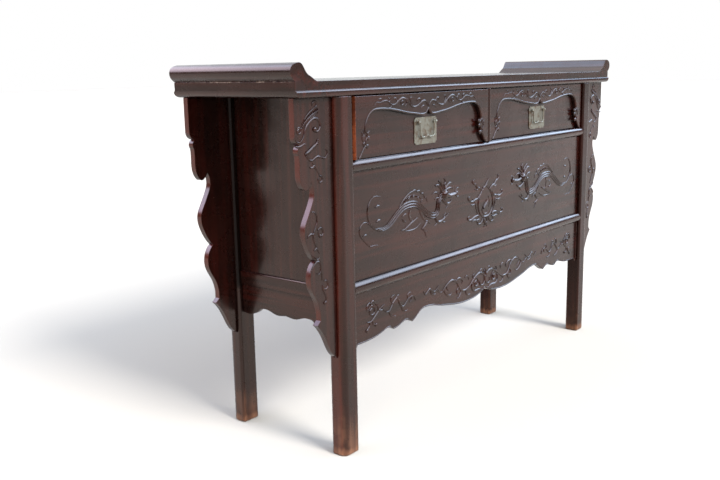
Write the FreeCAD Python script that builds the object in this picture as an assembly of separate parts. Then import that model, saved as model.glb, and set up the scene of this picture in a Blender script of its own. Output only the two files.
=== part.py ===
import FreeCAD, Part
import math
import os
from FreeCAD import Vector

os.makedirs("parts", exist_ok=True)

# Two-drawer altar sideboard. Millimetres, floor at z = 0, front towards -Y, +X to the right.

# Top: framed boards, everted end flanges and a stepped front edge
top_length = 1500.0
top_depth = 382.0
top_height = 850.0
top_thickness = 34.0
top_rail_width = 70.0
top_end_width = 90.0
top_overhang = 127.0
flange_rise = 38.0
flange_overhang = 12.5
flange_sweep = 66.0
flange_quirk = 2.0
edge_step = 4.0
edge_step_drop = 19.0
edge_round = 7.0
end_round = 15.0
board_thickness = 16.0
tongue_thickness = 8.0
tongue_depth = 8.0
brace_width = 40.0
brace_count = 5

# Legs
leg_width = 50.0
leg_depth = 42.0
leg_setback = 3.0
leg_corner_round = 16.0
leg_inner_round = 6.0
leg_side_round = 8.0
leg_arris_round = 6.0
foot_chamfer = 3.5

# Tenons that stand in mortises of the same size
tenon_length = 12.0
tenon_shoulder = 4.0
rail_tenon_length = 20.0
rail_tenon_thickness = 18.0
rail_tenon_setback = 10.0
leg_tenon_inset = 11.0
top_rail_tenon_inset = 17.5
housing_depth = 6.0

# Front and back rails, divider, and the heights between them
drawer_opening_height = 140.0
drawer_rail_height = 26.0
front_panel_height = 250.0
lower_rail_height = 28.0
rail_bulge = 8.0
rail_scribe = 3.5
scribe_ease = 1.0
divider_width = 18.0
divider_bulge = 8.0

# Panels and aprons
panel_thickness = 12.0
panel_recess = 12.0
apron_thickness = 14.0
apron_height = 122.0
apron_wave = 30.0

# Sides
side_panel_height = 420.0
side_panel_recess = 13.0
side_rail_recess = 9.0
side_rail_width = 24.0
side_rail_height = 34.0
side_rail_round = 6.0
side_rail_tenon_inset = 5.0
side_apron_height = 72.0
side_apron_wave = 18.0

# Spandrels beside the legs
spandrel_inset = 10.0
spandrel_drop = 579.0
spandrel_thickness = 14.0
spandrel_recess = 17.0

# Drawer bearers and compartment floor
runner_width = 40.0
runner_height = 20.0
guide_height = 24.0
guide_clearance = 1.0
stop_length = 12.0
stop_width = 20.0
stop_height = 14.0
stop_clearance = 0.5
floor_drop = 4.0
floor_thickness = 12.0
floor_gap = 1.0
floor_board_count = 3
floor_batten_count = 4
floor_batten_width = 40.0
floor_batten_height = 18.0
batten_tenon_thickness = 6.0

# Drawers
drawer_back_gap = 20.5
drawer_side_gap = 6.0
drawer_height_gap = 1.5
drawer_run_clearance = 0.3
drawer_recess = 17.5
left_drawer_ajar = 9.0
drawer_front_thickness = 20.0
drawer_wall = 12.0
drawer_side_headroom = 20.0
drawer_back_drop = 6.0
drawer_bottom_thickness = 8.0
drawer_bottom_raise = 10.0
frieze_thickness = 10.0

# Brass handles
plate_width = 93.0
plate_height = 65.0
plate_thickness = 2.0
plate_notch = 5.0
plate_drop = 22.0
post_inset = 11.0
post_top_inset = 11.5
post_reach = 5.4
post_ball_radius = 4.0
post_neck_radius = 2.4
post_rosette_radius = 5.5
post_rosette_thickness = 1.5
post_shank_radius = 1.6
post_clench_radius = 4.0
post_clench_thickness = 1.5
shank_clearance = 0.1
bail_radius = 2.0
bail_pin_radius = 1.4
bail_pin_clearance = 0.05
bail_post_gap = 0.5
bail_drop = 36.0
bail_corner_radius = 9.0
bail_cusp_rise = 4.0
bail_cusp_half_width = 12.0

# Lower edge of half the front apron, from the middle to the leg: share of half width, share of wave
apron_middle_share = 0.667
apron_edge_shares = [
    [(0.024, 0.433), (0.052, 0.25), (0.105, 0.083), (0.192, 0.033), (0.253, 0.133), (0.314, 0.333),
     (0.384, 0.583), (0.44, 0.85), (0.497, 0.967), (0.532, 0.883), (0.558, 0.617), (0.6, 0.183)],
    [(0.621, 0.367), (0.646, 0.5), (0.689, 0.317), (0.736, 0.183)],
    [(0.75, 0.35), (0.77, 0.45), (0.796, 0.367), (0.822, 0.233)],
    [(0.855, 0.1), (0.907, 0.017), (1.0, 0.0)],
]

# The same for half a side apron
side_apron_middle_share = 0.667
side_apron_edge_shares = [
    [(0.07, 0.58), (0.17, 0.5), (0.27, 0.61), (0.38, 0.89), (0.51, 0.97), (0.59, 0.83)],
    [(0.66, 0.33), (0.71, 0.11), (1.0, 0.0)],
]

# Outer edge of a spandrel from the top down: share of reach, share of drop
spandrel_edge_shares = [
    [(1.0, 0.131)],
    [(0.97, 0.152), (0.86, 0.164)],
    [(0.905, 0.171), (0.906, 0.2)],
    [(0.897, 0.256), (0.845, 0.309), (0.74, 0.328), (0.655, 0.318), (0.6, 0.3)],
    [(0.545, 0.326), (0.54, 0.35), (0.6, 0.383), (0.72, 0.428), (0.81, 0.466), (0.82, 0.49), (0.76, 0.532),
     (0.66, 0.57), (0.545, 0.598)],
    [(0.65, 0.622), (0.7, 0.653), (0.7, 0.677), (0.65, 0.708), (0.54, 0.746), (0.47, 0.784), (0.455, 0.817)],
    [(0.455, 0.829)],
    [(0.55, 0.845)],
    [(0.42, 0.874), (0.29, 0.919), (0.17, 0.967), (0.0, 1.0)],
]

# Inner edge of half a drawer frieze, from the middle notch down to its foot: share of half width, of height
frieze_middle_share = 0.708
frieze_edge_shares = [
    [(0.016, 0.672), (0.036, 0.639), (0.069, 0.62), (0.166, 0.631), (0.303, 0.664), (0.444, 0.715),
     (0.596, 0.755), (0.708, 0.763), (0.765, 0.752), (0.812, 0.708), (0.841, 0.642), (0.863, 0.555),
     (0.874, 0.47)],
    [(0.858, 0.432), (0.826, 0.418)],
    [(0.842, 0.39), (0.846, 0.352), (0.832, 0.318)],
    [(0.862, 0.3), (0.868, 0.26), (0.846, 0.19)],
    [(0.884, 0.175), (0.908, 0.125), (0.932, 0.055), (0.968, 0.0)],
]

# Outer and inner faces of the end flange above the top: share of overhang or sweep, share of rise
flange_outer_shares = [(0.5, 0.16), (0.9, 0.34), (1.0, 0.56), (0.74, 0.77), (0.3, 0.89)]
flange_inner_shares = [
    (0.06, 0.96), (0.18, 1.0), (0.31, 0.94), (0.385, 0.8), (0.475, 0.57), (0.55, 0.42), (0.74, 0.24),
    (0.9, 0.07), (1.0, 0.0),
]

# Levels and faces that follow from the sizes above
half_length = top_length / 2
top_front = -top_depth / 2
underside = top_height - top_thickness
top_inner = half_length - top_end_width
rail_inner = top_front + top_rail_width
board_bottom = top_height - board_thickness
leg_front = top_front + leg_setback
leg_rear = leg_front + leg_depth
leg_out = half_length - top_overhang
leg_in = leg_out - leg_width
spandrel_reach = top_overhang - spandrel_inset
drawer_rail_top = underside - drawer_opening_height
drawer_rail_bottom = drawer_rail_top - drawer_rail_height
lower_rail_top = drawer_rail_bottom - front_panel_height
lower_rail_bottom = lower_rail_top - lower_rail_height
apron_bottom = lower_rail_bottom - apron_height
panel_front = leg_front + panel_recess
side_panel_out = leg_out - side_panel_recess
side_panel_in = side_panel_out - panel_thickness
side_rail_out = leg_out - side_rail_recess
side_rail_in = side_rail_out - side_rail_width
side_rail_top = underside - side_panel_height
side_rail_bottom = side_rail_top - side_rail_height
side_apron_bottom = side_rail_bottom - side_apron_height
runner_bottom = drawer_rail_top - runner_height
floor_top = lower_rail_top - floor_drop
floor_bottom = floor_top - floor_thickness
drawer_in = divider_width / 2 + drawer_side_gap
drawer_out = leg_in - drawer_side_gap
drawer_half = (drawer_out - drawer_in) / 2
drawer_middle = (drawer_out + drawer_in) / 2
drawer_low = drawer_rail_top + drawer_height_gap
drawer_high = underside - drawer_height_gap
drawer_face = leg_front + drawer_recess
drawer_front_rear = drawer_face + drawer_front_thickness
drawer_rear = -leg_rear - drawer_back_gap
side_low = drawer_rail_top + drawer_run_clearance
bottom_low = side_low + drawer_bottom_raise
drawer_side_height = drawer_opening_height - drawer_side_headroom
drawer_back_height = drawer_side_height - drawer_bottom_raise - drawer_back_drop
plate_middle = (drawer_low + drawer_high) / 2 - plate_drop
post_height = plate_middle + plate_height / 2 - post_top_inset
post_offset = plate_width / 2 - post_inset
plate_face = drawer_face - plate_thickness
bail_axis = plate_face - post_reach
bail_half_width = post_offset - post_ball_radius - bail_post_gap - bail_radius


def box(x0, x1, y0, y1, z0, z1):
    return Part.makeBox(x1 - x0, y1 - y0, z1 - z0, Vector(x0, y0, z0))


def mirror_x(shape):
    return shape.mirror(Vector(0, 0, 0), Vector(1, 0, 0))


def mirror_y(shape):
    return shape.mirror(Vector(0, 0, 0), Vector(0, 1, 0))


def shift_x(shape, distance):
    moved = shape.copy()
    moved.translate(Vector(distance, 0, 0))
    return moved


def pulled_out(shape, distance):
    moved = shape.copy()
    moved.translate(Vector(0, -distance, 0))
    return moved


def front_plane(y):
    return lambda across, up: Vector(across, y, up)


def side_plane(x):
    return lambda across, up: Vector(x, across, up)


def level_plane(z):
    return lambda across, along: Vector(across, along, z)


def edges_along(start, steps, place):
    """A step of one point is a straight edge, of two an arc, of more a smooth curve through them."""
    edges = []
    here = place(*start)
    for step in steps:
        points = [place(*point) for point in step]
        if len(points) == 1:
            edges.append(Part.LineSegment(here, points[0]).toShape())
        elif len(points) == 2:
            edges.append(Part.Arc(here, points[0], points[1]).toShape())
        else:
            curve = Part.BSplineCurve()
            curve.interpolate([here] + points)
            edges.append(curve.toShape())
        here = points[-1]
    return edges


def slab(start, steps, place, through):
    """A plate with the closed outline, as thick as the vector."""
    closed = steps + [[start]]
    return Part.Face(Part.Wire(edges_along(start, closed, place))).extrude(through)


def scaled(steps, place_point):
    return [[place_point(*point) for point in step] for step in steps]


def fused(shapes):
    return shapes[0].fuse(shapes[1:]).removeSplitter()


def with_mirror(half, mirror):
    return fused([half, mirror(half)])


def rounded_post(x0, x1, y0, y1, z0, z1, radii):
    """An upright post; radii are those of its corners at (x0, y0), (x1, y0), (x1, y1) and (x0, y1)."""
    corners = [(x0, y0, 1, 1), (x1, y0, -1, 1), (x1, y1, -1, -1), (x0, y1, 1, -1)]
    bend = 1 - math.sqrt(0.5)
    start = (x0 + radii[0], y0)
    steps = []
    for index, (x, y, in_x, in_y) in list(enumerate(corners))[1:] + [(0, corners[0])]:
        r = radii[index]
        along_x = (x + in_x * r, y)
        along_y = (x, y + in_y * r)
        first, last = (along_x, along_y) if in_x * in_y < 0 else (along_y, along_x)
        steps.append([first])
        steps.append([(x + in_x * r * bend, y + in_y * r * bend), last])
    wire = Part.Wire(edges_along(start, steps, level_plane(z0)))
    return Part.Face(wire).extrude(Vector(0, 0, z1 - z0))


def pair(half_shape):
    """The right-hand piece and its mirror image, keyed by side."""
    return {"right": half_shape, "left": mirror_x(half_shape)}


# Top
def top_edge_waste():
    """What the front and back edges lose to the step above the bead and to the round below it."""
    reach = half_length + 2 * flange_overhang
    along = Vector(2 * reach, 0, 0)
    bead_top = top_height - edge_step_drop
    above_all = top_height + flange_rise + edge_step
    step_turn = edge_step * (1 - math.sqrt(0.5))
    round_turn = edge_round * (1 - math.sqrt(0.5))
    above = slab((top_front, bead_top - edge_step), [
        [(top_front + step_turn, bead_top - step_turn), (top_front + edge_step, bead_top)],
        [(top_front + edge_step, above_all)],
        [(top_front, above_all)],
    ], side_plane(-reach), along)
    below = slab((top_front, underside), [
        [(top_front + edge_round, underside)],
        [(top_front + round_turn, underside + round_turn), (top_front, underside + edge_round)],
    ], side_plane(-reach), along)
    front = [above, below]
    return front + [mirror_y(waste) for waste in front]


def top_rail():
    groove_middle = board_bottom + board_thickness / 2
    body = box(-top_inner, top_inner, top_front, rail_inner, underside, top_height)
    tenon = box(-top_inner - tenon_length, top_inner + tenon_length,
                top_front + top_rail_tenon_inset, rail_inner - top_rail_tenon_inset,
                groove_middle - tongue_thickness, groove_middle)
    return body.fuse(tenon).cut(top_edge_waste())


def top_board():
    low = board_bottom + (board_thickness - tongue_thickness) / 2
    high = low + tongue_thickness
    body = box(-top_inner, top_inner, rail_inner, 0, board_bottom, top_height)
    end_tongues = box(-top_inner - tongue_depth, top_inner + tongue_depth, rail_inner, 0, low, high)
    front_tongue = box(-top_inner, top_inner, rail_inner - tongue_depth, rail_inner, low, high)
    return fused([body, end_tongues, front_tongue])


def top_end():
    def outside(share, rise):
        return half_length + share * flange_overhang, top_height + rise * flange_rise

    def inside(share, rise):
        return half_length - share * flange_sweep, top_height + rise * flange_rise

    outer_face = [outside(*point) for point in flange_outer_shares]
    inner_face = [inside(*point) for point in flange_inner_shares]
    turn = end_round * (1 - math.sqrt(0.5))
    start = (top_inner, underside)
    steps = [
        [(half_length - end_round, underside)],
        [(half_length - turn, underside + turn), (half_length, underside + end_round)],
        [(half_length, top_height)],
        [(half_length - flange_quirk, top_height)],
        outer_face + inner_face,
        [(top_inner, top_height)],
    ]
    body = slab(start, steps, front_plane(top_front), Vector(0, top_depth, 0))
    return body.cut(top_edge_waste())


def top_braces():
    outermost = (side_panel_out + side_panel_in) / 2
    pitch = 2 * outermost / (brace_count - 1)
    low = underside + tenon_shoulder
    high = board_bottom - tenon_shoulder
    braces = []
    for index in range(brace_count):
        middle = -outermost + index * pitch
        x0 = middle - brace_width / 2
        x1 = middle + brace_width / 2
        body = box(x0, x1, rail_inner, -rail_inner, underside, board_bottom)
        tenon = box(x0 + tenon_shoulder, x1 - tenon_shoulder, rail_inner - tenon_length,
                    -rail_inner + tenon_length, low, high)
        braces.append(fused([body, tenon]))
    return braces


# Legs
def leg_post(inner_round):
    """A leg without its tenon; inner_round is for its corner beside the panel."""
    radii = [inner_round, leg_corner_round, leg_side_round, leg_arris_round]
    return rounded_post(leg_in, leg_out, leg_front, leg_rear, 0, underside, radii)


def leg(inner_round):
    post = leg_post(inner_round)
    foot_edges = [edge for edge in post.Edges if edge.BoundBox.ZMax < foot_chamfer]
    tenon = box(leg_in + leg_tenon_inset, leg_out - leg_tenon_inset, leg_front + leg_tenon_inset,
                leg_rear - leg_tenon_inset, underside, underside + tenon_length)
    return fused([post.makeChamfer(foot_chamfer, foot_edges), tenon])


# Front and back rails, panels and aprons between the legs
def rail_tenons(bottom, top):
    y0 = leg_front + rail_tenon_setback
    return box(-leg_in - rail_tenon_length, leg_in + rail_tenon_length, y0, y0 + rail_tenon_thickness,
               bottom + tenon_shoulder, top - tenon_shoulder)


def front_rail(bottom, top):
    """A half-round rail whose ends are scribed to the rounded corners of the legs."""
    half_span = leg_in + rail_scribe
    start = (leg_rear, bottom)
    steps = [
        [(leg_front + rail_bulge, bottom)],
        [(leg_front, (bottom + top) / 2), (leg_front + rail_bulge, top)],
        [(leg_rear, top)],
    ]
    body = slab(start, steps, side_plane(-half_span), Vector(2 * half_span, 0, 0))
    behind_corner = box(leg_in, leg_out, leg_front + leg_inner_round, leg_rear, bottom, top)
    leg_space = leg_post(leg_inner_round - scribe_ease).fuse(behind_corner)
    body = body.cut(list(pair(leg_space).values()))
    return body.fuse(rail_tenons(bottom, top)).removeSplitter()


def back_rail(bottom, top):
    body = box(-leg_in, leg_in, -leg_rear, -leg_front, bottom, top)
    return body.fuse(mirror_y(rail_tenons(bottom, top))).removeSplitter()


def framed_panel(bottom, top):
    """A panel held in grooves: in the legs at its ends, in the rails above and below."""
    rear = panel_front + panel_thickness
    between_legs = box(-leg_in, leg_in, panel_front, rear, bottom - housing_depth, top + housing_depth)
    into_legs = box(-leg_in - tongue_depth, leg_in + tongue_depth, panel_front, rear, bottom, top)
    return fused([between_legs, into_legs])


def divider():
    half = divider_width / 2
    start = (half, leg_rear)
    steps = [
        [(half, leg_front + divider_bulge)],
        [(0, leg_front), (-half, leg_front + divider_bulge)],
        [(-half, leg_rear)],
    ]
    body = slab(start, steps, level_plane(drawer_rail_top), Vector(0, 0, underside - drawer_rail_top))
    y0 = leg_front + rail_tenon_setback
    tenon = box(-half + tenon_shoulder, half - tenon_shoulder, y0, y0 + rail_tenon_thickness,
                drawer_rail_top - tenon_length, underside + tenon_length)
    return fused([body, tenon])


def front_apron():
    def place(share, rise):
        return share * leg_in, apron_bottom + rise * apron_wave

    start = place(0, apron_middle_share)
    steps = scaled(apron_edge_shares, place) + [
        [(leg_in + tongue_depth, apron_bottom)],
        [(leg_in + tongue_depth, lower_rail_bottom)],
        [(leg_in, lower_rail_bottom)],
        [(leg_in, lower_rail_bottom + housing_depth)],
        [(0, lower_rail_bottom + housing_depth)],
    ]
    half = slab(start, steps, front_plane(panel_front), Vector(0, apron_thickness, 0))
    return with_mirror(half, mirror_x)


# Sides
def side_panel():
    between_legs = box(side_panel_in, side_panel_out, leg_rear, -leg_rear,
                       side_rail_top - housing_depth, underside)
    into_legs = box(side_panel_in, side_panel_out, leg_rear - tongue_depth, -leg_rear + tongue_depth,
                    side_rail_top, underside)
    return fused([between_legs, into_legs])


def side_rail():
    turn = side_rail_round * (1 - math.sqrt(0.5))
    start = (side_rail_in, side_rail_bottom)
    steps = [
        [(side_rail_out, side_rail_bottom)],
        [(side_rail_out, side_rail_top - side_rail_round)],
        [(side_rail_out - turn, side_rail_top - turn), (side_rail_out - side_rail_round, side_rail_top)],
        [(side_rail_in, side_rail_top)],
    ]
    body = slab(start, steps, front_plane(leg_rear), Vector(0, -2 * leg_rear, 0))
    tenon = box(side_rail_in + side_rail_tenon_inset, side_rail_out - side_rail_tenon_inset,
                leg_rear - tenon_length, -leg_rear + tenon_length,
                side_rail_bottom + tenon_shoulder, side_rail_top - tenon_shoulder)
    return fused([body, tenon])


def side_apron():
    half_width = -leg_rear

    def place(share, rise):
        return share * half_width, side_apron_bottom + rise * side_apron_wave

    start = place(0, side_apron_middle_share)
    steps = scaled(side_apron_edge_shares, place) + [
        [(half_width + tongue_depth, side_apron_bottom)],
        [(half_width + tongue_depth, side_rail_bottom)],
        [(half_width, side_rail_bottom)],
        [(half_width, side_rail_bottom + housing_depth)],
        [(0, side_rail_bottom + housing_depth)],
    ]
    half = slab(start, steps, side_plane(side_panel_in), Vector(panel_thickness, 0, 0))
    return with_mirror(half, mirror_y)


# Spandrels housed in the outer faces of the legs
def spandrel():
    def place(share, drop):
        return leg_out + share * spandrel_reach, underside - drop * spandrel_drop

    start = (leg_out - housing_depth, underside)
    foot = (leg_out - housing_depth, underside - spandrel_drop)
    steps = [[place(1, 0)]] + scaled(spandrel_edge_shares, place) + [[foot]]
    face = leg_front + spandrel_recess
    return slab(start, steps, front_plane(face), Vector(0, spandrel_thickness, 0))


# Drawer bearers and the floor of the hidden compartment
def runner():
    guide_face = drawer_out + guide_clearance
    guide_top = drawer_rail_top + guide_height
    body = box(leg_in - runner_width, side_panel_in, leg_rear, -leg_rear, runner_bottom, drawer_rail_top)
    guide = box(guide_face, side_panel_in, leg_rear, -leg_rear, drawer_rail_top, guide_top)
    tenon = box(leg_in - runner_width + tenon_shoulder, leg_in - tenon_shoulder,
                leg_rear - tenon_length, -leg_rear + tenon_length,
                runner_bottom + tenon_shoulder, drawer_rail_top - tenon_shoulder)
    return fused([body, guide, tenon])


def centre_runner():
    body = box(-runner_width, runner_width, leg_rear, -leg_rear, runner_bottom, drawer_rail_top)
    tenon = box(-runner_width + tenon_shoulder, runner_width - tenon_shoulder,
                leg_rear - tenon_length, -leg_rear + tenon_length,
                runner_bottom + tenon_shoulder, drawer_rail_top - tenon_shoulder)
    return fused([body, tenon])


def centre_guide():
    half = drawer_in - guide_clearance
    return box(-half, half, leg_rear, -leg_rear, drawer_rail_top, drawer_rail_top + guide_height)


def drawer_stops():
    y0 = drawer_rear + stop_clearance
    stop_top = drawer_rail_top + stop_height
    right = []
    for x0 in (drawer_in, drawer_out - stop_width):
        right.append(box(x0, x0 + stop_width, y0, y0 + stop_length, drawer_rail_top, stop_top))
    return right + [mirror_x(stop) for stop in right]


def floor_boards():
    half = side_rail_in - floor_gap
    width = -2 * leg_rear / floor_board_count
    boards = []
    for index in range(floor_board_count):
        y0 = leg_rear + index * width
        boards.append(box(-half, half, y0, y0 + width, floor_bottom, floor_top))
    return boards


def floor_battens():
    low = floor_bottom - floor_batten_height
    tenon_top = floor_bottom - tenon_shoulder
    pitch = 2 * leg_in / floor_batten_count
    battens = []
    for index in range(floor_batten_count):
        middle = -leg_in + (index + 0.5) * pitch
        x0 = middle - floor_batten_width / 2
        x1 = middle + floor_batten_width / 2
        body = box(x0, x1, leg_rear, -leg_rear, low, floor_bottom)
        tenon = box(x0 + tenon_shoulder, x1 - tenon_shoulder, leg_rear - tenon_length,
                    -leg_rear + tenon_length, tenon_top - batten_tenon_thickness, tenon_top)
        battens.append(fused([body, tenon]))
    return battens


# Drawers, modelled for the right-hand one
def drawer_bottom():
    return box(drawer_in + drawer_wall - housing_depth, drawer_out - drawer_wall + housing_depth,
               drawer_front_rear - housing_depth, drawer_rear - drawer_wall + housing_depth,
               bottom_low, bottom_low + drawer_bottom_thickness)


def drawer_side(x0):
    return box(x0, x0 + drawer_wall, drawer_front_rear - tongue_depth, drawer_rear,
               side_low, side_low + drawer_side_height)


def drawer_back():
    return box(drawer_in + drawer_wall - housing_depth, drawer_out - drawer_wall + housing_depth,
               drawer_rear - drawer_wall, drawer_rear, bottom_low, bottom_low + drawer_back_height)


def drawer_front():
    return box(drawer_in, drawer_out, drawer_face, drawer_front_rear, drawer_low, drawer_high)


def drawer_frieze():
    height = drawer_high - drawer_low

    def place(share, rise):
        return share * drawer_half, drawer_low + rise * height

    start = place(0, frieze_middle_share)
    steps = scaled(frieze_edge_shares, place) + [
        [(drawer_half, drawer_low)],
        [(drawer_half, drawer_high)],
        [(0, drawer_high)],
    ]
    half = slab(start, steps, front_plane(drawer_face - frieze_thickness), Vector(0, frieze_thickness, 0))
    return shift_x(with_mirror(half, mirror_x), drawer_middle)


# Handle, modelled about x = 0
def handle_plate():
    half = plate_width / 2
    low = plate_middle - plate_height / 2
    high = plate_middle + plate_height / 2
    notch_turn = plate_notch * math.sqrt(0.5)
    start = (-half + plate_notch, low)
    steps = [
        [(half - plate_notch, low)],
        [(half - notch_turn, low + notch_turn), (half, low + plate_notch)],
        [(half, high - plate_notch)],
        [(half - notch_turn, high - notch_turn), (half - plate_notch, high)],
        [(-half + plate_notch, high)],
        [(-half + notch_turn, high - notch_turn), (-half, high - plate_notch)],
        [(-half, low + plate_notch)],
        [(-half + notch_turn, low + notch_turn), start],
    ]
    wire = Part.Wire(edges_along(start, steps, front_plane(plate_face)))
    return Part.Face(wire).extrude(Vector(0, plate_thickness, 0))


def round_bar(radius, x, y0, y1, z):
    return Part.makeCylinder(radius, y1 - y0, Vector(x, y0, z), Vector(0, 1, 0))


def post_holes():
    radius = post_shank_radius + shank_clearance
    places = (-post_offset, post_offset)
    return [round_bar(radius, x, plate_face, drawer_front_rear, post_height) for x in places]


def handle_posts():
    eye = Part.makeCylinder(bail_pin_radius + bail_pin_clearance, plate_width,
                            Vector(-plate_width / 2, bail_axis, post_height), Vector(1, 0, 0))
    posts = []
    for x in (-post_offset, post_offset):
        ball = Part.makeSphere(post_ball_radius, Vector(x, bail_axis, post_height))
        neck = round_bar(post_neck_radius, x, bail_axis, plate_face, post_height)
        rosette_face = plate_face - post_rosette_thickness
        rosette = round_bar(post_rosette_radius, x, rosette_face, plate_face, post_height)
        shank_end = drawer_front_rear + post_clench_thickness
        shank = round_bar(post_shank_radius, x, plate_face, shank_end, post_height)
        clench = round_bar(post_clench_radius, x, drawer_front_rear, shank_end, post_height)
        posts.append(fused([ball, neck, rosette, shank, clench]).cut(eye))
    return posts


def bail():
    low = post_height - bail_drop
    corner_top = low + bail_corner_radius
    corner_x = bail_half_width - bail_corner_radius
    turn = bail_corner_radius * math.sqrt(0.5)
    lobe_radius = (bail_cusp_half_width ** 2 + bail_cusp_rise ** 2) / (2 * bail_cusp_rise)
    half_chord = bail_cusp_half_width / 2
    lobe_middle = low + lobe_radius - math.sqrt(lobe_radius ** 2 - half_chord ** 2)
    start = (bail_half_width, post_height)
    steps = [
        [(bail_half_width, corner_top)],
        [(corner_x + turn, corner_top - turn), (corner_x, low)],
        [(bail_cusp_half_width, low)],
        [(half_chord, lobe_middle), (0, low + bail_cusp_rise)],
    ]
    path = Part.Wire(edges_along(start, steps, front_plane(bail_axis)))
    shoulder = Vector(bail_half_width, bail_axis, post_height)
    ring = Part.Wire(Part.makeCircle(bail_radius, shoulder, Vector(0, 0, 1)))
    rod = path.makePipeShell([ring], True, False)
    knuckle = Part.makeSphere(bail_radius, shoulder)
    cusp = Part.makeSphere(bail_radius, Vector(0, bail_axis, low + bail_cusp_rise))
    pin_length = post_offset + post_ball_radius - bail_half_width
    pin = Part.makeCylinder(bail_pin_radius, pin_length, shoulder, Vector(1, 0, 0))
    half = fused([rod, knuckle, cusp, pin])
    return with_mirror(half, mirror_x)


def only_solid(shape):
    if len(shape.Solids) != 1:
        raise ValueError("a piece must be one solid")
    return shape.Solids[0]


# Assemble: each piece with tenons first, then what they are let into
nodes = {}

braces = top_braces()
boards = {"front": top_board(), "back": mirror_y(top_board())}
panel_lower = framed_panel(lower_rail_top, drawer_rail_bottom)
panel_upper_back = mirror_y(framed_panel(drawer_rail_top, underside))
divider_piece = divider()
apron = front_apron()
side_panels = pair(side_panel())
side_rails = pair(side_rail())
side_aprons = pair(side_apron())
runners = pair(runner())
runner_centre = centre_runner()
battens = floor_battens()
spandrels = {
    ("front", side): piece for side, piece in pair(spandrel()).items()
}
spandrels.update({("back", side): mirror_y(piece) for (_, side), piece in list(spandrels.items())})
legs = {("front", side): piece for side, piece in pair(leg(leg_inner_round)).items()}
legs.update({("back", side): mirror_y(piece) for side, piece in pair(leg(leg_arris_round)).items()})

rails = {
    "front": {
        "drawer": front_rail(drawer_rail_bottom, drawer_rail_top),
        "lower": front_rail(lower_rail_bottom, lower_rail_top),
    },
    "back": {
        "drawer": back_rail(drawer_rail_bottom, drawer_rail_top),
        "lower": back_rail(lower_rail_bottom, lower_rail_top),
    },
}
panels = {"front": [panel_lower], "back": [mirror_y(panel_lower), panel_upper_back]}

top_rails = {"front": top_rail(), "back": mirror_y(top_rail())}
for place, rail in top_rails.items():
    let_in = [boards[place], divider_piece] + braces + panels[place]
    let_in += [legs[place, side] for side in ("left", "right")]
    nodes["top_" + place + "_rail"] = rail.cut(let_in)
    nodes["top_board_" + place] = boards[place]
into_ends = list(top_rails.values()) + list(boards.values())
for side, end in pair(top_end()).items():
    nodes["top_end_" + side] = end.cut(into_ends)

for (place, side), post in legs.items():
    into_leg = list(rails[place].values()) + panels[place]
    into_leg += [side_panels[side], side_rails[side], side_aprons[side], spandrels[place, side]]
    if place == "front":
        into_leg.append(apron)
    nodes["leg_" + place + "_" + side] = post.cut(into_leg)
    nodes["spandrel_" + place + "_" + side] = spandrels[place, side]

for place, rail in rails.items():
    into_drawer_rail = panels[place] + [runners["left"], runners["right"], runner_centre, divider_piece]
    into_lower_rail = panels[place] + battens + [apron]
    nodes["drawer_rail_" + place] = rail["drawer"].cut(into_drawer_rail)
    nodes["lower_rail_" + place] = rail["lower"].cut(into_lower_rail)

nodes["drawer_divider"] = divider_piece
nodes["front_panel"] = panel_lower
nodes["front_apron"] = apron
nodes["back_panel_lower"] = panels["back"][0]
nodes["back_panel_upper"] = panels["back"][1]
for side in ("left", "right"):
    nodes["side_panel_" + side] = side_panels[side]
    nodes["side_apron_" + side] = side_aprons[side]
    nodes["side_rail_" + side] = side_rails[side].cut([side_panels[side], side_aprons[side]])
    nodes["drawer_runner_" + side] = runners[side]
nodes["drawer_runner_centre"] = runner_centre
nodes["drawer_guide_centre"] = centre_guide()

bottom = drawer_bottom()
back = drawer_back().cut(bottom)
walls = {
    "inner": drawer_side(drawer_in),
    "outer": drawer_side(drawer_out - drawer_wall),
}
holes = [shift_x(hole, drawer_middle) for hole in post_holes()]
drawer = {
    "drawer_front": drawer_front().cut([bottom] + list(walls.values()) + holes),
    "drawer_frieze": drawer_frieze(),
    "drawer_side_inner": walls["inner"].cut([bottom, drawer_back()]),
    "drawer_side_outer": walls["outer"].cut([bottom, drawer_back()]),
    "drawer_back": back,
    "drawer_bottom": bottom,
    "handle_plate": shift_x(handle_plate(), drawer_middle).cut(holes),
    "handle_bail": shift_x(bail(), drawer_middle),
}
for name, piece in drawer.items():
    nodes[name + "_right"] = piece
    nodes[name + "_left"] = pulled_out(mirror_x(piece), left_drawer_ajar)

groups = {
    "top_braces": braces,
    "drawer_stops": drawer_stops(),
    "floor_boards": floor_boards(),
    "floor_battens": battens,
}
for side, middle, ajar in (("right", drawer_middle, 0.0), ("left", -drawer_middle, left_drawer_ajar)):
    groups["handle_posts_" + side] = [pulled_out(shift_x(post, middle), ajar) for post in handle_posts()]

for name, shape in nodes.items():
    only_solid(shape).exportStep("parts/" + name + ".step")
for name, solids in groups.items():
    Part.makeCompound([only_solid(solid) for solid in solids]).exportStep("parts/" + name + ".step")
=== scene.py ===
import math

import bmesh
import bpy
from mathutils import Matrix, Vector


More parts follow.
